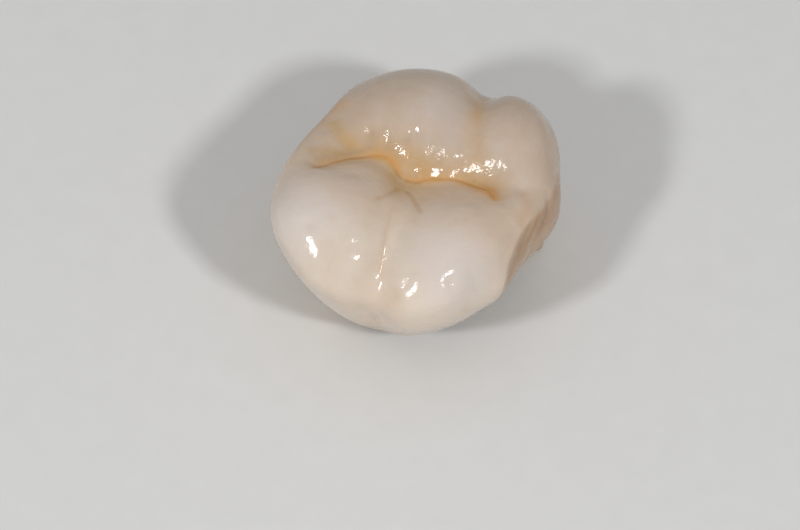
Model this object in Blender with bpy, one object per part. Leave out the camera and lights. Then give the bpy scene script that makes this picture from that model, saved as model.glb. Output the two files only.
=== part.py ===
# A glazed ceramic crown for an upper first molar: a cushion of four cusps over a hollow for the
# prepared tooth. It stands on its margin at z = 0, biting surface up. +X is the distal side (away
# from the front teeth), +Y the palate side, and -Y the cheek side with its arched margin.
# Sizes are in millimetres; the mesh is scaled to metres at the end.
import bmesh
import bpy
import numpy as np

MM = 0.001

# Places around the crown, by angle from +X: contour radius and height (the widest ring), margin
# radius and height (the lower edge), rim width, and how straight the wall runs up (0 bowed, 1 straight).
PLACES = {
    "distal": (12.0, 5.15, 5.7, 4.45, 2.0, 1.0, 0.6),
    "distal foot": (28.0, 5.4, 5.25, 5.15, 0.0, 1.0, 0.45),
    "distopalatal corner": (48.0, 6.1, 4.85, 4.8, 0.0, 1.0, 0.4),
    "palatal groove": (74.0, 6.35, 4.5, 4.5, 0.0, 0.95, 0.45),
    "mesiopalatal": (100.0, 6.05, 4.6, 4.4, 0.0, 0.95, 0.5),
    "mesiopalatal corner": (130.0, 5.75, 5.2, 4.35, 0.1, 0.9, 0.65),
    "mesial": (160.0, 4.9, 6.1, 4.1, 0.3, 0.8, 0.85),
    "mesial front": (195.0, 5.5, 6.3, 3.65, 0.3, 0.65, 0.95),
    "mesiobuccal corner": (225.0, 6.65, 6.6, 3.5, 0.0, 0.5, 0.9),
    "buccal groove": (258.0, 6.2, 5.3, 3.75, 0.85, 0.45, 0.65),
    "distobuccal": (292.0, 5.95, 5.1, 3.85, 1.35, 0.45, 0.75),
    "distobuccal corner": (322.0, 5.25, 5.1, 4.1, 2.4, 0.7, 0.75),
    "distal front": (348.0, 4.7, 5.3, 4.25, 2.9, 0.95, 0.65),
}

# Cusps and the two ridges that join them at the ends: place of the top in plan, its height, and the
# radius of the dome there.
CUSPS = {
    "mesiobuccal": (-3.5, -4.05, 8.05, 5.4),
    "distobuccal": (2.8, -3.85, 7.75, 5.2),
    "mesiopalatal": (-1.2, 3.1, 7.3, 3.5),
    "distopalatal": (3.2, 3.4, 7.3, 3.4),
    "mesial ridge": (-4.05, 0.45, 6.25, 1.8),
    "distal ridge": (4.2, -0.5, 6.4, 1.8),
}
CUSP_BLEND = 4.0

# How the biting surface turns down into the sides: higher is squarer.
SHOULDER_PLAN = 3.05
SHOULDER_RISE = 2.35

# Notches that the two outer grooves cut in the outline: angle, depth, half width.
NOTCHES = {
    "buccal": (267.0, 1.05, 6.0),
    "palatal": (79.0, 1.0, 8.0),
}

# Grooves of the biting surface: half width, and the points that the groove runs through, in plan, each
# with its depth below the cusps.
GROOVES = {
    "central": (0.34, [(-4.15, -1.5, 0.1), (-3.8, -1.0, 0.65), (-3.1, -0.25, 0.55), (-2.5, 0.2, 0.35),
                       (-2.0, 0.45, 0.25), (-1.5, 0.5, 0.2), (-1.15, 0.25, 0.2), (-0.75, -0.2, 0.2),
                       (-0.25, -0.05, 0.2), (0.3, 0.42, 0.2), (1.2, 0.72, 0.25), (2.1, 0.55, 0.3),
                       (2.85, 0.0, 0.3)]),
    "mesial hollow": (0.75, [(-4.2, -1.1, 0.15), (-3.65, -0.45, 0.5), (-2.8, 0.4, 0.35), (-2.0, 0.95, 0.15)]),
    "buccal": (0.5, [(-0.75, -0.2, 0.1), (-0.65, -1.2, 0.12), (-0.6, -2.4, 0.12), (-0.5, -3.4, 0.12)]),
    "buccal foot": (0.32, [(-0.5, -3.4, 0.1), (-0.4, -4.0, 0.35), (-0.3, -4.7, 0.6), (-0.2, -5.4, 0.8)]),
    "palatal": (0.45, [(2.6, 0.4, 0.15), (2.1, 1.2, 0.05), (1.6, 2.2, 0.05), (1.45, 3.3, 0.1), (1.3, 4.4, 0.3),
                       (1.2, 5.8, 0.4)]),
}

# The hollow: a flat ceiling that seats on the prepared tooth, walls that open towards the mouth.
CEILING_HEIGHT = 4.4
WALL_TAPER = 0.1
CEILING_FILLET = 0.5

# Mesh: cells across the biting surface, rings of the crest, wall, rim, hollow and its fillet.
CELLS = 32
CREST_RINGS = 5
WALL_RINGS = 9
RIM_RINGS = 2
HOLLOW_RINGS = 4
FILLET_RINGS = 4
TABLE_EDGE = 0.86
SIDE_SMOOTHING = 14


def around(column, angle):
    """One column of PLACES as a smooth closed curve, at these angles in radians."""
    rows = sorted(PLACES.values())
    at = np.radians([row[0] for row in rows])
    value = np.array([row[column] for row in rows])
    at = np.concatenate([at[-2:] - 2 * np.pi, at, at[:2] + 2 * np.pi])
    value = np.concatenate([value[-2:], value, value[:2]])
    slope = np.zeros_like(value)
    slope[1:-1] = (value[2:] - value[:-2]) / (at[2:] - at[:-2])
    angle = np.mod(angle, 2 * np.pi)
    i = np.clip(np.searchsorted(at, angle, side="right") - 1, 1, len(at) - 3)
    span = at[i + 1] - at[i]
    t = (angle - at[i]) / span
    start = (1 + 2 * t) * (1 - t) ** 2 * value[i] + t * (1 - t) ** 2 * span * slope[i]
    end = t * t * (3 - 2 * t) * value[i + 1] - t * t * (1 - t) * span * slope[i + 1]
    return start + end


def through(points, count):
    """A smooth line through these points, as this many closely spaced ones."""
    knots = np.array(points)
    ends = [2 * knots[0] - knots[1]], [2 * knots[-1] - knots[-2]]
    knots = np.concatenate([ends[0], knots, ends[1]])
    place = np.linspace(0, len(points) - 1, count)
    i = np.minimum(place.astype(int), len(points) - 2)
    t = (place - i)[:, None]
    a, b, c, d = knots[i], knots[i + 1], knots[i + 2], knots[i + 3]
    bend = t * (2 * a - 5 * b + 4 * c - d + t * (3 * (b - c) + d - a))
    return b + 0.5 * t * (c - a + bend)


def notch(angle):
    """How far the outline is drawn in at this angle."""
    drawn_in = np.zeros_like(angle)
    for centre, depth, half_width in NOTCHES.values():
        off = (angle - np.radians(centre) + np.pi) % (2 * np.pi) - np.pi
        drawn_in += depth * np.exp(-(off / np.radians(half_width)) ** 2)
    return drawn_in


def groove_depth(x, y):
    """How deep the grooves cut below the cusps here."""
    cut = np.zeros_like(x)
    for half_width, points in GROOVES.values():
        line = through(points, 20 * len(points))
        gap = np.hypot(x[:, None] - line[:, 0], y[:, None] - line[:, 1])
        depth = line[gap.argmin(axis=1), 2]
        cut = np.maximum(cut, depth * np.exp(-(gap.min(axis=1) / half_width) ** 2))
    return cut


def cusp_height(x, y):
    """Height of the domed cusps and ridges joined into one surface, with the grooves cut in."""
    domes = []
    for cusp_x, cusp_y, top, dome_radius in CUSPS.values():
        drop = ((x - cusp_x) ** 2 + (y - cusp_y) ** 2) / (2 * dome_radius)
        domes.append(np.exp(CUSP_BLEND * (top - drop)))
    return np.log(np.sum(domes, axis=0)) / CUSP_BLEND - groove_depth(x, y)


def crown_top(angle, reach):
    """A point of the biting surface, at this share of the contour's radius."""
    radius = (around(1, angle) - notch(angle)) * reach
    x = radius * np.cos(angle)
    y = radius * np.sin(angle)
    contour = around(2, angle)
    fall = (1 - np.minimum(reach, 1) ** SHOULDER_PLAN) ** (1 / SHOULDER_RISE)
    return np.stack([x, y, contour + (cusp_height(x, y) - contour) * fall], axis=1)


def polar(angle, radius, height):
    return np.stack([radius * np.cos(angle), radius * np.sin(angle), height], axis=1)


def margin(angle):
    """The lower outer edge; it never dips below the plane that the crown stands on."""
    return around(3, angle), np.maximum(around(4, angle), 0)


def crown_wall(angle, down):
    """A point of the outer side, from the contour (0) down to the margin (1)."""
    radius, height = margin(angle)
    contour = around(2, angle)
    bow = height + around(6, angle) * (contour - height)
    out = 1 - down ** 2
    z = down ** 2 * height + 2 * down * (1 - down) * bow + (1 - down) ** 2 * contour
    return polar(angle, radius + (around(1, angle) - radius) * out - notch(angle) * (1 - down), z)


def rim(angle, inward):
    radius, height = margin(angle)
    return polar(angle, radius - around(5, angle) * inward, height)


def hollow(angle, up, turn):
    """A point inside: up the tapering wall (0 to 1), then round the fillet (0 to 1)."""
    radius, height = margin(angle)
    foot = radius - around(5, angle)
    rise = (CEILING_HEIGHT - CEILING_FILLET - height) * up
    bend = turn * np.pi / 2
    inset = WALL_TAPER * rise + CEILING_FILLET * (1 - np.cos(bend))
    return polar(angle, foot - inset, height + rise + CEILING_FILLET * np.sin(bend))


def disc_grid(mesh, level):
    """A square grid pulled into a round one of radius 1, at z = -level."""
    made = bmesh.ops.create_grid(mesh, x_segments=CELLS, y_segments=CELLS, size=1.0)
    for vert in made["verts"]:
        u, v, _ = vert.co
        vert.co = (u * (1 - v * v / 2) ** 0.5, v * (1 - u * u / 2) ** 0.5, -level)
    return made["verts"]


LEVELS = CREST_RINGS + WALL_RINGS + RIM_RINGS + HOLLOW_RINGS + FILLET_RINGS


def shaped(flat):
    """Moves the points of the plain closed tube, whose level is -z, to the crown's surface."""
    angle = np.arctan2(flat[:, 1], flat[:, 0])
    share = np.hypot(flat[:, 0], flat[:, 1])
    level = np.rint(-flat[:, 2])
    edge_fall = (1 - TABLE_EDGE ** SHOULDER_PLAN) ** (1 / SHOULDER_RISE)
    fall = edge_fall * (1 - level / CREST_RINGS)
    crest_reach = (1 - np.maximum(fall, 0) ** SHOULDER_RISE) ** (1 / SHOULDER_PLAN)
    level_wall = level - CREST_RINGS
    level_rim = level_wall - WALL_RINGS
    level_hollow = level_rim - RIM_RINGS
    level_fillet = level_hollow - HOLLOW_RINGS
    ceiling = hollow(angle, 1.0, 1.0)
    ceiling[:, :2] *= share[:, None]
    zones = [
        (level <= CREST_RINGS, crown_top(angle, crest_reach)),
        (level <= 0, crown_top(angle, share * TABLE_EDGE)),
        (level_wall > 0, crown_wall(angle, np.clip(level_wall / WALL_RINGS, 0, 1))),
        (level_rim > 0, rim(angle, level_rim / RIM_RINGS)),
        (level_hollow > 0, hollow(angle, level_hollow / HOLLOW_RINGS, 0.0)),
        (level_fillet > 0, hollow(angle, 1.0, level_fillet / FILLET_RINGS)),
        (level >= LEVELS, ceiling),
    ]
    place = np.zeros_like(flat)
    for inside, points in zones:
        place[inside] = points[inside]
    return place


def ceramic():
    material = bpy.data.materials.new("glazed ceramic")
    material.use_nodes = True
    shader = material.node_tree.nodes["Principled BSDF"]
    shader.inputs["Base Color"].default_value = (0.71, 0.57, 0.44, 1)
    shader.inputs["Roughness"].default_value = 0.12
    shader.inputs["Metallic"].default_value = 0
    return material


for old in list(bpy.data.objects):
    bpy.data.objects.remove(old)

# A grid for the biting surface, its edge drawn down level by level, and a second grid to close it.
body = bmesh.new()
disc_grid(body, 0)
for level in range(LEVELS):
    open_edges = [edge for edge in body.edges if edge.is_boundary]
    made = bmesh.ops.extrude_edge_only(body, edges=open_edges)
    lower = [item for item in made["geom"] if isinstance(item, bmesh.types.BMVert)]
    bmesh.ops.translate(body, verts=lower, vec=(0, 0, -1))
disc_grid(body, LEVELS)
bmesh.ops.remove_doubles(body, verts=body.verts, dist=0.0001)
flat_points = np.array([vert.co for vert in body.verts])
for vert, point in zip(body.verts, shaped(flat_points)):
    vert.co = point * MM
outer_side = [vert for vert, flat in zip(body.verts, flat_points) if 0 < -flat[2] < CREST_RINGS + 8]
for _ in range(SIDE_SMOOTHING):
    bmesh.ops.smooth_vert(body, verts=outer_side, factor=0.5, use_axis_x=True, use_axis_y=True, use_axis_z=True)
bmesh.ops.recalc_face_normals(body, faces=body.faces)

crown_mesh = bpy.data.meshes.new("crown")
body.to_mesh(crown_mesh)
body.free()
crown = bpy.data.objects.new("crown", crown_mesh)
crown_mesh.materials.append(ceramic())
crown_mesh.shade_smooth()
crown_mesh.set_sharp_from_angle(angle=np.radians(50))
parts = bpy.data.collections.new("ceramic dental crown")
bpy.context.scene.collection.children.link(parts)
parts.objects.link(crown)
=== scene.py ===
import bpy, bmesh
import numpy as np
from math import radians, sin, cos
from mathutils import Vector, Matrix, noise
from mathutils.bvhtree import BVHTree
from mathutils.kdtree import KDTree


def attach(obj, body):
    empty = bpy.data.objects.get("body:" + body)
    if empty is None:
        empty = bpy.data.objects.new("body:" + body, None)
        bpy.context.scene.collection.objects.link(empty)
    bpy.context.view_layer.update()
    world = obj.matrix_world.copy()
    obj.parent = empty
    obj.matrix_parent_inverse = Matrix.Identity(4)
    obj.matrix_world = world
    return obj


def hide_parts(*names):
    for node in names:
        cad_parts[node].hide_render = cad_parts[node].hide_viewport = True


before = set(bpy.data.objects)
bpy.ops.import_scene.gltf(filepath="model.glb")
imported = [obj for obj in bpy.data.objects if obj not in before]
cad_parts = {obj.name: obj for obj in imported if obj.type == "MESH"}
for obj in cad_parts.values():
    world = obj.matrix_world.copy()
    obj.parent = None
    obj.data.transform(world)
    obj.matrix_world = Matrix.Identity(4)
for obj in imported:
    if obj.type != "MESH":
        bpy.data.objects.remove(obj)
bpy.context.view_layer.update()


# The table that the crown stands on: smooth pale card with a faint grain, many times wider than the crown.
# It carries the crown's shadow and isn't a part of it.
class Value:
    """A socket that carries a value, so that the sums of a finish read as sums."""

    def __init__(self, finish, socket):
        self.finish, self.socket = finish, socket

    def sum(self, operation, first, second):
        return self.finish.node("ShaderNodeMath", {"operation": operation}, {0: first, 1: second})

    def __add__(self, other):
        return self.sum("ADD", self, other)

    def __sub__(self, other):
        return self.sum("SUBTRACT", self, other)

    def __rsub__(self, other):
        return self.sum("SUBTRACT", other, self)

    def __mul__(self, other):
        return self.sum("MULTIPLY", self, other)

    __radd__, __rmul__ = __add__, __mul__


class Finish:
    """A material or a world in the making, node by node."""

    def __init__(self, owner):
        owner.use_nodes = True
        self.owner, self.nodes, self.links = owner, owner.node_tree.nodes, owner.node_tree.links

    def node(self, kind, settings=None, values=None, out=0):
        """A new node of that kind, its settings made before its sockets are filled or linked."""
        made = self.nodes.new(kind)
        for name, setting in (settings or {}).items():
            setattr(made, name, setting)
        self.fill(made, values or {})
        return Value(self, made.outputs[out])

    def fill(self, made, values):
        for name, value in values.items():
            if isinstance(value, Value):
                self.links.new(value.socket, made.inputs[name])
            else:
                made.inputs[name].default_value = value

    def mix(self, share, first, second):
        """Two colours, the second taking over as share goes from 0 to 1."""
        first, second = [(*c, 1.0) if isinstance(c, tuple) else c for c in (first, second)]
        share_in, first_in, second_in, colour_out = 0, 6, 7, 2
        return self.node("ShaderNodeMix", {"data_type": "RGBA"},
                         {share_in: share, first_in: first, second_in: second}, colour_out)

    def span(self, value, low, high, to_low=0.0, to_high=1.0):
        """value between low and high, eased and carried over to the other range."""
        return self.node("ShaderNodeMapRange", {"interpolation_type": "SMOOTHSTEP"},
                         {0: value, 1: low, 2: high, 3: to_low, 4: to_high})

    def grain(self, where, scale, detail=2.0):
        """A soft random pattern, with about scale lumps to a metre."""
        return self.node("ShaderNodeTexNoise", {}, {"Vector": where, "Scale": scale, "Detail": detail})


table_width = 1.2
card_grain, card_relief = 900.0, 0.00005
card_dark, card_light = (0.76, 0.76, 0.75), (0.80, 0.80, 0.79)
card = bmesh.new()
bmesh.ops.create_grid(card, x_segments=2, y_segments=2, size=table_width / 2)
table = bpy.data.objects.new("table", bpy.data.meshes.new("table"))
card.to_mesh(table.data)
card.free()
bpy.context.scene.collection.objects.link(table)
card_finish = Finish(bpy.data.materials.new("pale card"))
on_card = card_finish.node("ShaderNodeTexCoord", out="Object")
fibres = card_finish.grain(on_card, card_grain, 3.0)
card_finish.fill(card_finish.nodes["Principled BSDF"], {
    "Base Color": card_finish.mix(fibres, card_dark, card_light),
    "Roughness": 0.85,
    "Specular IOR Level": 0.25,
    "Normal": card_finish.node("ShaderNodeBump", {}, {
        "Strength": 0.15, "Distance": card_relief, "Height": fibres}),
})
table.data.materials.append(card_finish.owner)

# The camera looks down on the cheek side from a little to the mesial, slightly rolled, through a long lens.
# Its picture is 800 pixels wide, with 26 pixels to a millimetre of the crown, which stands near the middle.
elevation, azimuth, roll = radians(55), radians(13), radians(4.4)
distance, frame_width, film_width = 0.4, 0.800 / 26, 36
look = Vector((-sin(azimuth) * cos(elevation), cos(azimuth) * cos(elevation), -sin(elevation)))
right = Vector((cos(azimuth), sin(azimuth), 0))
above = right.cross(look)
cam_right = right * cos(roll) + above * sin(roll)
cam_up = above * cos(roll) - right * sin(roll)
turn = Matrix((cam_right, cam_up, -look)).transposed()
lens = bpy.data.cameras.new("camera")
lens.sensor_fit, lens.sensor_width = "HORIZONTAL", film_width
lens.lens = film_width * distance / frame_width
lens.shift_x, lens.shift_y = -0.0205, 0.00675
lens.clip_start = 0.001
camera = bpy.data.objects.new("camera", lens)
camera.matrix_world = Matrix.Translation(-look * distance) @ turn.to_4x4()
bpy.context.scene.collection.objects.link(camera)
bpy.context.scene.camera = camera
bpy.context.scene.view_settings.view_transform = "Standard"

# The light: a pale room all round, one broad soft lamp overhead, and two small soft lamps to the left and
# right of the camera, whose reflections are the glints on the glaze.
room_light, room_shown = (0.29, 0.29, 0.29), (0.62, 0.62, 0.62)
room = bpy.data.worlds.new("pale room")
bpy.context.scene.world = room
air = Finish(room)
rays = ("Is Camera Ray", "Is Glossy Ray", "Is Transmission Ray")
seen, mirrored, passed = [air.node("ShaderNodeLightPath", out=ray) for ray in rays]
shown = air.node("ShaderNodeClamp", {}, {"Value": seen + mirrored + passed})
air.fill(air.nodes["Background"], {"Color": air.mix(shown, room_light, room_shown), "Strength": 1.0})
crown_middle = Vector((0, 0, 0.004))


def lamp(name, towards, away, width, watts):
    """A square soft lamp, away metres from the crown in that direction and facing it."""
    made = bpy.data.lights.new(name, "AREA")
    made.size, made.energy = width, watts
    hung = bpy.data.objects.new(name, made)
    hung.location = towards.normalized() * away + crown_middle
    hung.rotation_euler = towards.to_track_quat("Z", "Y").to_euler()
    bpy.context.scene.collection.objects.link(hung)


side_away, side_width, side_watts = 0.25, 0.026, 0.200
lamp("lamp_left", -cam_right * 0.50 - cam_up * 0.06 - look * 0.86, side_away, side_width, side_watts)
lamp("lamp_right", cam_right * 0.42 - cam_up * 0.04 - look * 0.89, side_away, side_width, side_watts)
lamp("lamp_above", Vector((0.1, 0.15, 1)), 0.4, 0.30, 0.07)

# The crown's body: a shell of pressed ceramic for an upper molar, open underneath for the stump of the tooth.
# The maker grinds it to its cusps and walls, so the solid's small flats are worked into one smooth skin
# first. All work on it is in millimetres.
voxel = 0.078
to_millimetres, to_metres = (1000, 1000, 1000), (0.001, 0.001, 0.001)
body = bmesh.new()
body.from_mesh(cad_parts["crown"].data)
bmesh.ops.remove_doubles(body, verts=body.verts, dist=1e-7)
bmesh.ops.scale(body, vec=to_millimetres, verts=body.verts)
blank = bpy.data.objects.new("blank", bpy.data.meshes.new("blank"))
body.to_mesh(blank.data)
body.free()
bpy.context.scene.collection.objects.link(blank)
skin = blank.modifiers.new("skin", "REMESH")
skin.mode, skin.voxel_size = "VOXEL", voxel
fine = bpy.data.meshes.new_from_object(blank.evaluated_get(bpy.context.evaluated_depsgraph_get()))
bpy.data.objects.remove(blank)
body = bmesh.new()
body.from_mesh(fine)


def sand(rounds, pressure):
    """The whole skin rubbed down, round by round."""
    for _ in range(rounds):
        bmesh.ops.smooth_vert(body, verts=body.verts, factor=pressure,
                              use_axis_x=True, use_axis_y=True, use_axis_z=True)


sand(36, 0.5)
body.normal_update()

# Where each point of the skin lies: inside the hollow, on the rim that the crown stands on, or on the glazed
# outside, and how far from the rim it is. The hollow is a ceiling, and walls that face its middle.
skin_at = np.array([v.co for v in body.verts])
skin_out = np.array([v.normal for v in body.verts])
height, facing_up = skin_at[:, 2], skin_out[:, 2]
hollow_middle = np.array((0.2, 0.2))
from_middle = skin_at[:, :2] - hollow_middle
off_middle = np.linalg.norm(from_middle, axis=1)
outward = (skin_out[:, :2] * from_middle).sum(1) / (off_middle + 1e-6)
ceiling = (facing_up < -0.6) & (height > 3.4) & (off_middle < 4.2)
walls = (outward < -0.25) & (height < 4.6) & (off_middle < 4.6)
inside = (ceiling | walls).astype(float)
glazed = 1 - inside
rim = ((facing_up < -0.75) & ~ceiling & (height < 3.6)).nonzero()[0]
rim_points = KDTree(len(rim))
for i in rim:
    rim_points.insert(skin_at[i], int(i))
rim_points.balance()
from_rim = np.array([rim_points.find(at)[2] for at in skin_at])


# The grooves, the swellings and the ground facet, worked into the body by hand before it is fired. Each line
# is drawn on the skin through a few places, from the mesial to the distal side or from the top down, and a
# little is then carved off or built up along it.
def drawn(places):
    """Points close together on a smooth line through the places."""
    spacing = 0.05
    p = np.array(places, float)
    p = np.vstack((2 * p[0] - p[1], p, 2 * p[-1] - p[-2]))
    points = []
    for a, b, c, d in zip(p, p[1:], p[2:], p[3:]):
        count = max(2, int(np.linalg.norm(c - b) / spacing))
        for t in np.arange(count) / count:
            points.append(0.5 * (2 * b + (c - a) * t + (2 * a - 5 * b + 4 * c - d) * t * t
                                 + (3 * b - a - 3 * c + d) * t ** 3))
    return np.array(points + [p[-2]])


skin_faces = BVHTree.FromBMesh(body)
overhead, down = 12, Vector((0, 0, -1))


def on_skin(places):
    """The drawn line, dropped on the skin where its places have no height, and else moved to it."""
    laid = []
    for point in drawn(places):
        if len(point) == 2:
            hit = skin_faces.ray_cast(Vector((*point, overhead)), down)[0]
        else:
            hit = skin_faces.find_nearest(Vector(point))[0]
        if hit is not None:
            laid.append(hit)
    return np.array(laid)


class Line:
    """A drawn line, with each skin point's distance from it, its share of the way along, and its side."""

    def __init__(self, places):
        path = on_skin(places)
        reach, out_of_reach = 2, 9.0
        low, high = path.min(0) - reach, path.max(0) + reach
        near = ((skin_at > low) & (skin_at < high)).all(1) & (inside < 0.5)
        self.away = np.full(len(skin_at), out_of_reach)
        self.along = np.zeros(len(skin_at))
        self.side = np.zeros(len(skin_at))
        to = skin_at[near][:, None] - path[None]
        nearest = np.linalg.norm(to, axis=2).argmin(1)
        step = np.gradient(path, axis=0)[nearest]
        to = to[np.arange(len(nearest)), nearest]
        self.away[near] = np.linalg.norm(to, axis=1)
        self.along[near] = nearest / (len(path) - 1)
        self.side[near] = np.sign((np.cross(step, to) * skin_out[near]).sum(1))

    def trough(self, left, right=None, ends=(0.12, 0.12)):
        """1 on the line and 0 away from it, with its own half width on each side, fading at its ends."""
        width = np.where(self.side > 0, left, right or left)
        fade = np.clip(self.along / ends[0], 0, 1) * np.clip((1 - self.along) / ends[1], 0, 1)
        return np.exp(-(self.away / width) ** 2) * fade

    def after(self, start, stretch):
        """0 up to a share of the way along, rising to 1 over the next stretch."""
        return np.clip((self.along - start) / stretch, 0, 1)

    def beyond(self, edge):
        """0 before the line, rising to 1 past it over the width of an edge."""
        return np.where(self.side > 0, 1 - np.exp(-(self.away / edge) ** 2), 0.0)


def swell(place, size):
    """1 at a place on the skin, falling smoothly to 0 over size."""
    return np.exp(-(np.linalg.norm(skin_at - np.array(place), axis=1) / size) ** 2) * glazed


rise = np.zeros(len(skin_at))
dent_size = 0.24


def build_up(most, share):
    """The skin raised by most millimetres where share is 1, and by less elsewhere."""
    rise[:] += most * share


def carve(deepest, share):
    """The skin cut away by deepest millimetres where share is 1, and by less elsewhere."""
    rise[:] -= deepest * share


def dent(x, y, z, depth):
    """One small dent, as the tip of a grinding point leaves it."""
    carve(depth, swell((x, y, z), dent_size))


# The central groove: two arms that meet in a pit between the cusps, each a rounded valley with a sharp
# fissure at its bottom. The cheek cusps are hollowed beside it, and two short cracks run up their slopes.
central_mesial = Line([(-4.10, -1.70), (-3.85, -1.15), (-3.50, -0.65), (-3.10, -0.20), (-2.55, 0.24),
                       (-2.05, 0.47), (-1.60, 0.48), (-1.30, 0.30), (-1.05, 0.00), (-0.75, -0.20)])
central_distal = Line([(-0.75, -0.20), (-0.30, -0.05), (0.10, 0.25), (0.55, 0.42), (1.10, 0.60),
                       (1.55, 0.55), (2.00, 0.35), (2.40, 0.20), (2.70, -0.05), (3.00, -0.42)])
crack_mesial = Line([(-0.69, -0.81), (-0.94, -1.66), (-1.28, -2.29)])
crack_distal = Line([(-0.48, -0.72), (-0.1, -1.2), (0.28, -1.78), (0.56, -2.2)])
build_up(0.08, np.maximum(central_mesial.trough(0.30, ends=(0.15, 0.01)),
                          central_distal.trough(0.30, ends=(0.01, 0.15))))
carve(0.058, np.maximum(central_mesial.trough(0.13, 0.10, ends=(0.15, 0.01)),
                        central_distal.trough(0.13, 0.10, ends=(0.01, 0.10))))
carve(0.06, swell((-0.35, 0.45, 6.05), 0.45))
for hollow in ((-3.3, -1.4, 7.2), (-2.3, -1.0, 7.0), (1.5, -0.6, 6.5)):
    carve(0.09, swell(hollow, 0.95))
carve(0.015, crack_mesial.trough(0.10))
carve(0.02, crack_distal.trough(0.10))

# The slopes of the palate cusps above the central groove: lumpy, with short furrows that run down into the
# groove. They break the two lamps' reflections into small glints.
slope_furrows = [Line(places) for places in (
    [(-1.82, 1.35), (-1.78, 1.00), (-1.72, 0.70)], [(-1.10, 1.75), (-1.06, 1.40), (-1.00, 1.05)],
    [(-0.66, 1.85), (-0.64, 1.45), (-0.60, 1.10)], [(0.42, 1.50), (0.52, 1.05), (0.66, 0.60)],
    [(1.12, 1.60), (1.20, 1.15), (1.34, 0.70)], [(2.50, 1.60), (2.60, 1.10), (2.65, 0.60)])]
for furrow in slope_furrows:
    carve(0.05, furrow.trough(0.13, ends=(0.4, 0.4)))
build_up(0.11, swell((0.85, 1.25, 6.3), 0.55))
build_up(0.12, swell((2.6, 0.1, 6.1), 0.45))
build_up(0.06, swell((3.45, 0.35, 6.15), 0.5))
dent(-2.55, 1.15, 6.4, 0.08)
dent(-1.75, 0.8, 6.3, 0.08)
dent(-1.3, 0.6, 6.4, 0.04)
dent(-1.1, 1.2, 6.8, 0.06)
dent(-0.6, 1.45, 6.9, 0.07)
dent(2.3, 1.15, 6.3, 0.04)
dent(2.45, 0.85, 6.1, 0.045)
dent(2.8, 1.1, 6.4, 0.045)
dent(3.67, 0.66, 6.15, 0.085)

# The cheek side: a groove between its two cusps that runs over the edge and down to the arch of the rim, and
# a full shoulder below the cusps, with a few dents in it.
cheek_groove = Line([(-0.62, -0.8), (-0.63, -1.6), (-0.61, -2.3), (-0.55, -3.05), (-0.47, -3.7),
                     (-0.36, -4.3), (-0.25, -4.75), (-0.11, -5.08)])
cheek_foot = Line([(-0.25, -5.5, 4.5), (-0.30, -5.4, 4.2), (-0.28, -5.1, 3.8), (-0.25, -4.8, 3.0)])
shoulder = Line([(-3.7, -5.1, 6.4), (-2.6, -5.6, 6.2), (-1.4, -5.6, 5.7), (-0.3, -5.3, 5.3),
                 (0.6, -5.5, 5.6), (1.6, -5.4, 5.9), (2.5, -4.8, 6.1), (3.2, -4.0, 6.2)])
build_up(0.20, shoulder.trough(0.75, ends=(0.15, 0.15)))
build_up(0.04, swell((-2.65, -5.2, 6.85), 0.40))
build_up(0.10, cheek_groove.trough(0.50, ends=(0.25, 0.15)))
carve(0.04, cheek_groove.trough(0.10) * cheek_groove.along)
carve(0.14, cheek_foot.trough(0.22, ends=(0.6, 0.4)))
dent(-3.3, -4.38, 7.55, 0.085)
dent(-1.4, -4.55, 7.2, 0.05)
dent(0.5, -5.3, 5.9, 0.09)
dent(0.85, -5.1, 6.45, 0.06)
dent(0.85, -4.75, 6.75, 0.045)
dent(2.4, -4.6, 6.55, 0.06)

# The palate side: a groove between its two cusps that deepens as it runs down the wall, which bulges on both
# sides of it.
palate_groove = Line([(2.65, 0.05), (2.20, 0.70), (1.90, 1.15), (1.62, 1.76), (1.43, 2.26),
                      (1.26, 2.82), (1.19, 3.37), (1.12, 4.06), (1.10, 4.70), (1.10, 5.10)])
palate_foot = Line([(1.10, 5.05, 5.3), (1.12, 5.60, 4.6), (1.10, 5.75, 3.9), (1.05, 5.60, 3.0),
                    (1.00, 5.30, 2.0)])
carve(0.03, palate_groove.trough(0.20))
carve(0.22, palate_foot.trough(0.30, ends=(0.1, 0.6)))
build_up(0.16, swell((-1.6, 5.8, 3.4), 1.8))
build_up(0.16, swell((3.3, 5.2, 3.2), 1.6))

# The distal side: a facet ground flat where it meets the next tooth, with a slight lip, shallow flutes left
# by the grinding point, and a furrow down the wall beside it.
facet_edge = Line([(4.60, 2.50, 5.65), (4.70, 2.00, 5.75), (4.73, 1.15, 5.85), (4.66, 0.50, 5.85),
                   (4.45, -0.15, 5.92), (4.23, -0.85, 6.03), (4.14, -1.60, 6.05), (4.11, -2.30, 5.95),
                   (4.08, -2.70, 5.80), (4.04, -3.05, 5.45), (3.96, -3.38, 5.05), (3.78, -3.62, 4.65)])
side_furrow = Line([(4.60, 1.10, 6.1), (4.80, 0.60, 5.7), (4.80, 0.15, 5.1), (4.65, -0.25, 4.3),
                    (4.50, -0.50, 3.5), (4.40, -0.60, 2.9)])


def flute(out, drop, late):
    """A flute's line, moved out of the wall, down from the facet's edge and on towards the cheek side."""
    return Line([(4.42 + out, 0.20 + 0.5 * drop, 5.98), (4.40 + out, -0.60 - late, 5.85 - drop),
                 (4.32 + out, -1.50, 5.70 - 1.1 * drop), (4.25 + out, -2.30, 5.50 - drop),
                 (4.18 + out, -2.85 + 0.5 * late, 5.10 - 0.8 * drop),
                 (4.05 + out, -3.25 + late, 4.60 - 0.5 * drop)])


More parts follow.
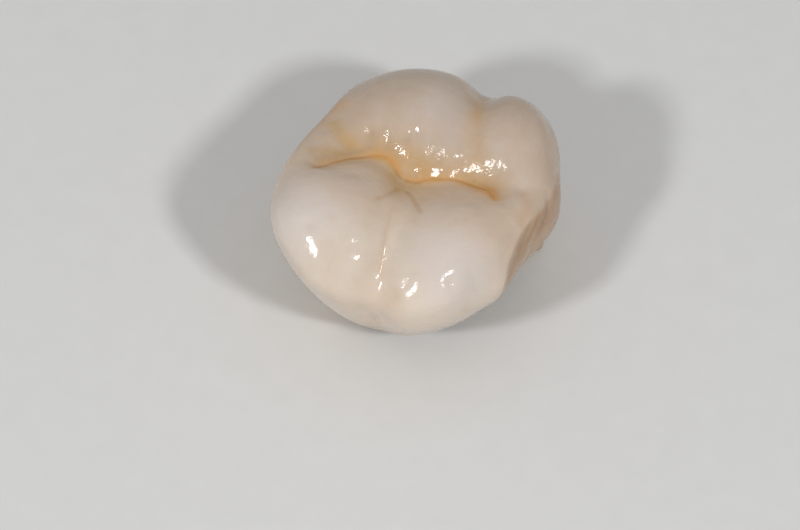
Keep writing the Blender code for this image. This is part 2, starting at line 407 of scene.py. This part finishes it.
flutes = [flute(-0.02, 0.0, 0.0), flute(0.03, 0.13, 0.3), flute(0.08, 0.27, -0.2), flute(0.12, 0.36, 0.2),
          flute(0.18, 0.55, 0.4), flute(0.20, 0.80, 0.0), flute(0.24, 0.98, 0.5), flute(0.26, 1.25, 0.2)]
flute_depths = (0.014, 0.024, 0.010, 0.022, 0.016, 0.020, 0.010, 0.012)
lower_facet = facet_edge.after(0.35, 0.2)
carve(0.09, facet_edge.beyond(0.30) * facet_edge.trough(1.1, ends=(0.1, 0.12)) * lower_facet)
build_up(0.02, facet_edge.trough(0.20, ends=(0.3, 0.3)) * lower_facet)
for line, depth in zip(flutes, flute_depths):
    carve(depth, line.trough(0.08, ends=(0.45, 0.5)))
carve(0.13, side_furrow.trough(0.45, ends=(0.4, 0.4)))
carve(0.10, side_furrow.trough(0.14, ends=(0.4, 0.6)))
build_up(0.17, swell((4.0, -3.2, 4.9), 0.8))
build_up(0.20, swell((4.9, 1.1, 4.3), 1.1))
build_up(0.14, swell((4.8, 1.2, 3.2), 0.9))

# The unevenness that hand work leaves all over the outside, with strokes down the slopes by the central
# groove. Then all that was carved and built up is worked into the skin.
slow_height, quick_height, stroke_height = 0.022, 0.007, 0.03
slope = np.maximum(central_mesial.trough(1.1, 0.1), central_distal.trough(1.1, 0.1))
for i, at in enumerate(skin_at):
    slow, quick = noise.noise(Vector(at) * 0.75), noise.noise(Vector(at) * 2.6)
    stroke = noise.noise(Vector((at[0] * 2.8, at[1] * 0.7, 0)))
    rise[i] += glazed[i] * (slow_height * slow + quick_height * quick) + stroke_height * stroke * slope[i]
for vert, by in zip(body.verts, rise):
    vert.co += vert.normal * by

# The rim: it arches a little under the palate side, and the distal leg is tucked in at its foot. The carved
# body is rubbed over lightly, and is then the finished piece.
scallop_side, scallop_middle, scallop_width, scallop_height, scallop_reach = 2.5, 1.0, 1.9, 0.18, 1.4
for vert in body.verts:
    if vert.co.y > scallop_side and vert.co.z < scallop_reach:
        lift = scallop_height * np.exp(-((vert.co.x - scallop_middle) / scallop_width) ** 2)
        vert.co.z += lift * (1 - vert.co.z / scallop_reach)
leg_foot, leg_reach, leg_tuck = Vector((4.5, 1.5, 1.0)), 1.4, Vector((-0.32, 0.10, 0))
for vert in body.verts:
    vert.co += leg_tuck * np.exp(-((vert.co - leg_foot).length / leg_reach) ** 2)
sand(2, 0.4)
bmesh.ops.scale(body, vec=to_metres, verts=body.verts)
for face in body.faces:
    face.smooth = True
crown = bpy.data.objects.new("crown_glazed", bpy.data.meshes.new("crown_glazed"))
body.to_mesh(crown.data)
body.free()
bpy.context.scene.collection.objects.link(crown)


# The colours painted on before the last firing: amber and umber stain run into the grooves, ochre washed
# beside them, peach patches, lavender-grey enamel on the cusps, brown on the ground facet, and a warm neck
# along the rim. The distal wall is browned, partly as stain and partly as painted shade, and painted light
# lies in a lighter bank beside the central groove and in a pale patch low on the cheek. The lining of the
# hollow stays bare.
def painted(name, *coats):
    """A layer of colour, as strong at each point of the skin as its coats together."""
    layer = crown.data.attributes.new(name, "FLOAT", "POINT")
    layer.data.foreach_set("value", np.clip(sum(coats), 0, 1).astype(np.float32))


stain_mesial = Line([(-4.10, -1.75), (-3.82, -1.18), (-3.48, -0.72), (-3.08, -0.28), (-2.53, 0.14),
                     (-2.05, 0.38), (-1.58, 0.42), (-1.25, 0.26), (-1.00, 0.00), (-0.75, -0.16)])
stain_distal = Line([(-0.75, -0.16), (-0.30, -0.08), (0.10, 0.18), (0.55, 0.34), (1.10, 0.52),
                     (1.55, 0.46), (2.00, 0.28), (2.40, 0.14), (2.70, -0.08), (3.00, -0.40)])
palate_band = Line([(-0.14, 4.97), (0.26, 4.40), (0.67, 3.96), (1.00, 3.45), (1.25, 2.90)])
mesial_arc = Line([(-4.08, 1.61), (-3.76, 1.20), (-3.46, 0.87), (-3.21, 0.72), (-2.96, 0.42)])
mesial_band = Line([(-4.60, -0.39), (-4.17, -0.11), (-3.73, 0.04), (-3.14, 0.08)])
mesial_rim = Line([(-3.60, 2.85), (-3.87, 2.49), (-4.10, 2.22), (-4.28, 1.90), (-4.42, 1.50),
                   (-4.55, 0.9)])
distal_patch = Line([(3.67, 0.52), (3.99, 0.24), (4.15, -0.10), (4.10, -0.60), (4.05, -1.1)])
painted("amber",
        0.65 * stain_mesial.trough(0.16, 0.12, ends=(0.12, 0.05)),
        0.55 * stain_distal.trough(0.13, 0.10, ends=(0.02, 0.05)),
        0.32 * stain_mesial.trough(0.50, 0.26, ends=(0.25, 0.05)),
        0.38 * stain_distal.trough(0.42, 0.26, ends=(0.02, 0.05)),
        0.25 * cheek_groove.trough(0.07) * cheek_groove.along,
        0.30 * palate_groove.trough(0.24) * palate_groove.after(0.5, 0.3),
        0.75 * swell((2.48, 0.00, 6.1), 0.48),
        0.3 * swell((-3.95, 2.35, 6.0), 0.35))
painted("ochre",
        0.95 * stain_mesial.trough(0.85, 0.32, ends=(0.2, 0.02)),
        0.80 * stain_distal.trough(0.80, 0.32, ends=(0.02, 0.05)),
        0.38 * palate_groove.trough(0.45),
        0.2 * cheek_groove.trough(0.35),
        0.5 * palate_foot.trough(0.5, ends=(0.1, 0.6)),
        0.28 * palate_band.trough(0.26),
        0.8 * mesial_arc.trough(0.32),
        0.4 * mesial_band.trough(0.22),
        0.4 * crack_distal.trough(0.12),
        0.4 * crack_mesial.trough(0.14),
        0.8 * swell((-0.8, 0.1, 6.0), 0.9),
        0.4 * swell((-0.8, -0.8, 6.2), 0.7))
painted("peach",
        0.7 * mesial_rim.trough(0.34),
        0.9 * distal_patch.trough(0.28),
        0.35 * swell((-1.6, -2.3, 7.4), 1.0),
        0.3 * swell((0.1, -5.4, 4.9), 1.2),
        0.4 * swell((0.4, -5.4, 5.8), 0.45),
        0.55 * palate_groove.trough(0.50, ends=(0.8, 0.2)))
painted("umber",
        0.20 * swell((2.72, -0.05, 6.1), 0.22),
        0.15 * stain_mesial.trough(0.09, 0.05, ends=(0.3, 0.1)) * (central_mesial.along < 0.5),
        0.18 * crack_distal.trough(0.08),
        0.12 * crack_mesial.trough(0.08),
        0.25 * swell((1.10, 5.04, 5.3), 0.35),
        0.35 * side_furrow.trough(0.16, ends=(0.3, 0.5)))
# The flute layer: brown on the ground facet and its flutes, and a browning towards the distal wall that is
# partly a warmer stain and partly painted shade.
distal_stain_and_shade_from, neck_height = 4.1, 1.9
painted("flute",
        (0.60 + 0.25 * lower_facet) * facet_edge.beyond(0.14) * facet_edge.trough(1.5, ends=(0.1, 0.10)),
        *(0.45 * line.trough(0.06, ends=(0.45, 0.5)) for line in flutes),
        0.35 * np.clip(skin_at[:, 0] - distal_stain_and_shade_from, 0, 1) * glazed)
painted("enamel",
        swell((-3.9, -3.9, 7.6), 1.7),
        swell((2.4, -4.2, 7.0), 1.9),
        0.5 * swell((0.3, 2.7, 6.9), 1.3))
# The masks of the painted light: shares of the skin towards the cheek side, which is painted lighter.
for name, start, reach in (("inner_slope", 0.3, 1.3), ("cheek", -1.9, 2.2)):
    share = np.clip((start - skin_at[:, 1]) / reach, 0, 1)
    painted(name, share * share * (3 - 2 * share) * glazed)
# Painted light: a lighter bank along the cheek side of the central groove, where its slope lies in shade.
painted("painted_light_bank", np.maximum(central_mesial.trough(0.1, 1.0), central_distal.trough(0.1, 1.0)))
# Painted light: a pale patch low on the cheek side, where the wall turns under towards the rim.
painted("pale", swell((0.8, -5.9, 4.9), 1.8))
painted("neck", np.exp(-(from_rim / neck_height) ** 2) * glazed)
painted("lining", inside)

# The glaze: clear glass fired over the painted ceramic, which lets a little light into itself. The ceramic
# is faintly clouded, mottled and veiled, with a few dark specks, and the glass has fine ripples in patches.
glaze = Finish(bpy.data.materials.new("glazed ceramic"))
where = glaze.node("ShaderNodeTexCoord", out="Object")


def layer(name):
    """The layer of that name, as it was painted on the skin."""
    return glaze.node("ShaderNodeAttribute", {"attribute_name": name}, out="Fac")


cloud, mottle = glaze.grain(where, 420.0, 3.0), glaze.grain(where, 1500.0, 3.0)
clouded = glaze.span(cloud, 0.35, 0.65)
# Painted light and shade: the palate half is painted darker and the cheek half lighter, as if lit from the
# cheek side.
palate_shaded_tone = glaze.mix(clouded, (0.580, 0.444, 0.334), (0.615, 0.494, 0.390))
slope_lit_tone, slope_share = (0.775, 0.600, 0.445), glaze.span(cloud, 0.3, 0.7, 0.75, 0.95)
cheek_lit_tone = glaze.mix(clouded, (0.722, 0.610, 0.500), (0.762, 0.665, 0.555))
tone = glaze.mix(layer("inner_slope") * slope_share, palate_shaded_tone, slope_lit_tone)
tone = glaze.mix(layer("cheek") * 0.85, tone, cheek_lit_tone)
tone = glaze.mix(glaze.span(mottle, 0.5, 0.75) * 0.25, tone, (0.62, 0.45, 0.30))
drawn_out = glaze.node("ShaderNodeMapping", {}, {"Vector": where, "Scale": (2.2, 0.8, 0.8)})
veil = glaze.span(glaze.grain(drawn_out, 420.0, 3.0), 0.40, 0.70, 0.0, 0.15)
tone = glaze.mix(veil, tone, (0.800, 0.725, 0.690))
# Enamel, peach and neck are the ceramic's own tones; the bank and the pale patch are painted light.
for name, strength, colour in (
        ("enamel", 0.65, (0.705, 0.640, 0.620)),
        ("painted_light_bank", 0.55, (0.900, 0.725, 0.555)),
        ("pale", 0.7, (0.820, 0.700, 0.580)),
        ("peach", 0.55, (0.620, 0.400, 0.250)),
        ("neck", 0.85, (0.530, 0.340, 0.180))):
    tone = glaze.mix(layer(name) * strength, tone, colour)
ochre_share = glaze.span(mottle, 0.2, 0.7, 0.5, 0.85)
flute_share = glaze.span(mottle, 0.2, 0.8, 0.7, 0.95)
amber_share = glaze.span(mottle, 0.2, 0.8, 0.6, 0.95)
tone = glaze.mix(layer("ochre") * ochre_share, tone, (0.580, 0.370, 0.150))
tone = glaze.mix(layer("flute") * flute_share, tone, (0.410, 0.240, 0.125))
tone = glaze.mix(layer("amber") * amber_share, tone, (0.680, 0.330, 0.090))
tone = glaze.mix(layer("umber") * 0.8, tone, (0.250, 0.100, 0.035))
bare_ceramic = glaze.mix(glaze.grain(where, 6000.0), (0.60, 0.50, 0.40), (0.72, 0.63, 0.53))
tone = glaze.mix(layer("lining"), tone, bare_ceramic)
speck_cells = glaze.node("ShaderNodeTexVoronoi", {}, {"Vector": where, "Scale": 620.0})
specks = glaze.span(speck_cells, 0.035, 0.022) * 0.45
tone = glaze.mix(specks, tone, (0.30, 0.27, 0.26))
polish = glaze.span(mottle, 0.3, 0.7, 0.10, 0.18)
ripple = glaze.grain(where, 5200.0) + glaze.grain(where, 13000.0) * 0.5
patchy = glaze.span(glaze.grain(where, 900.0), 0.38, 0.62, 0.30, 1.0)
calm = 1 - layer("inner_slope") * 0.3
ripple_depth, light_reach = 0.000018, 0.0007
glaze.fill(glaze.nodes["Principled BSDF"], {
    "Base Color": tone,
    "Roughness": polish + layer("lining") * 0.45 + layer("flute") * 0.20,
    "IOR": 1.52,
    "Subsurface Weight": 0.2,
    "Subsurface Radius": (1.0, 0.6, 0.4),
    "Subsurface Scale": light_reach,
    "Normal": glaze.node("ShaderNodeBump", {}, {
        "Strength": 1.0, "Distance": ripple_depth, "Height": ripple * patchy * calm}),
})
crown.data.materials.append(glaze.owner)
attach(crown, "root")
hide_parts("crown")
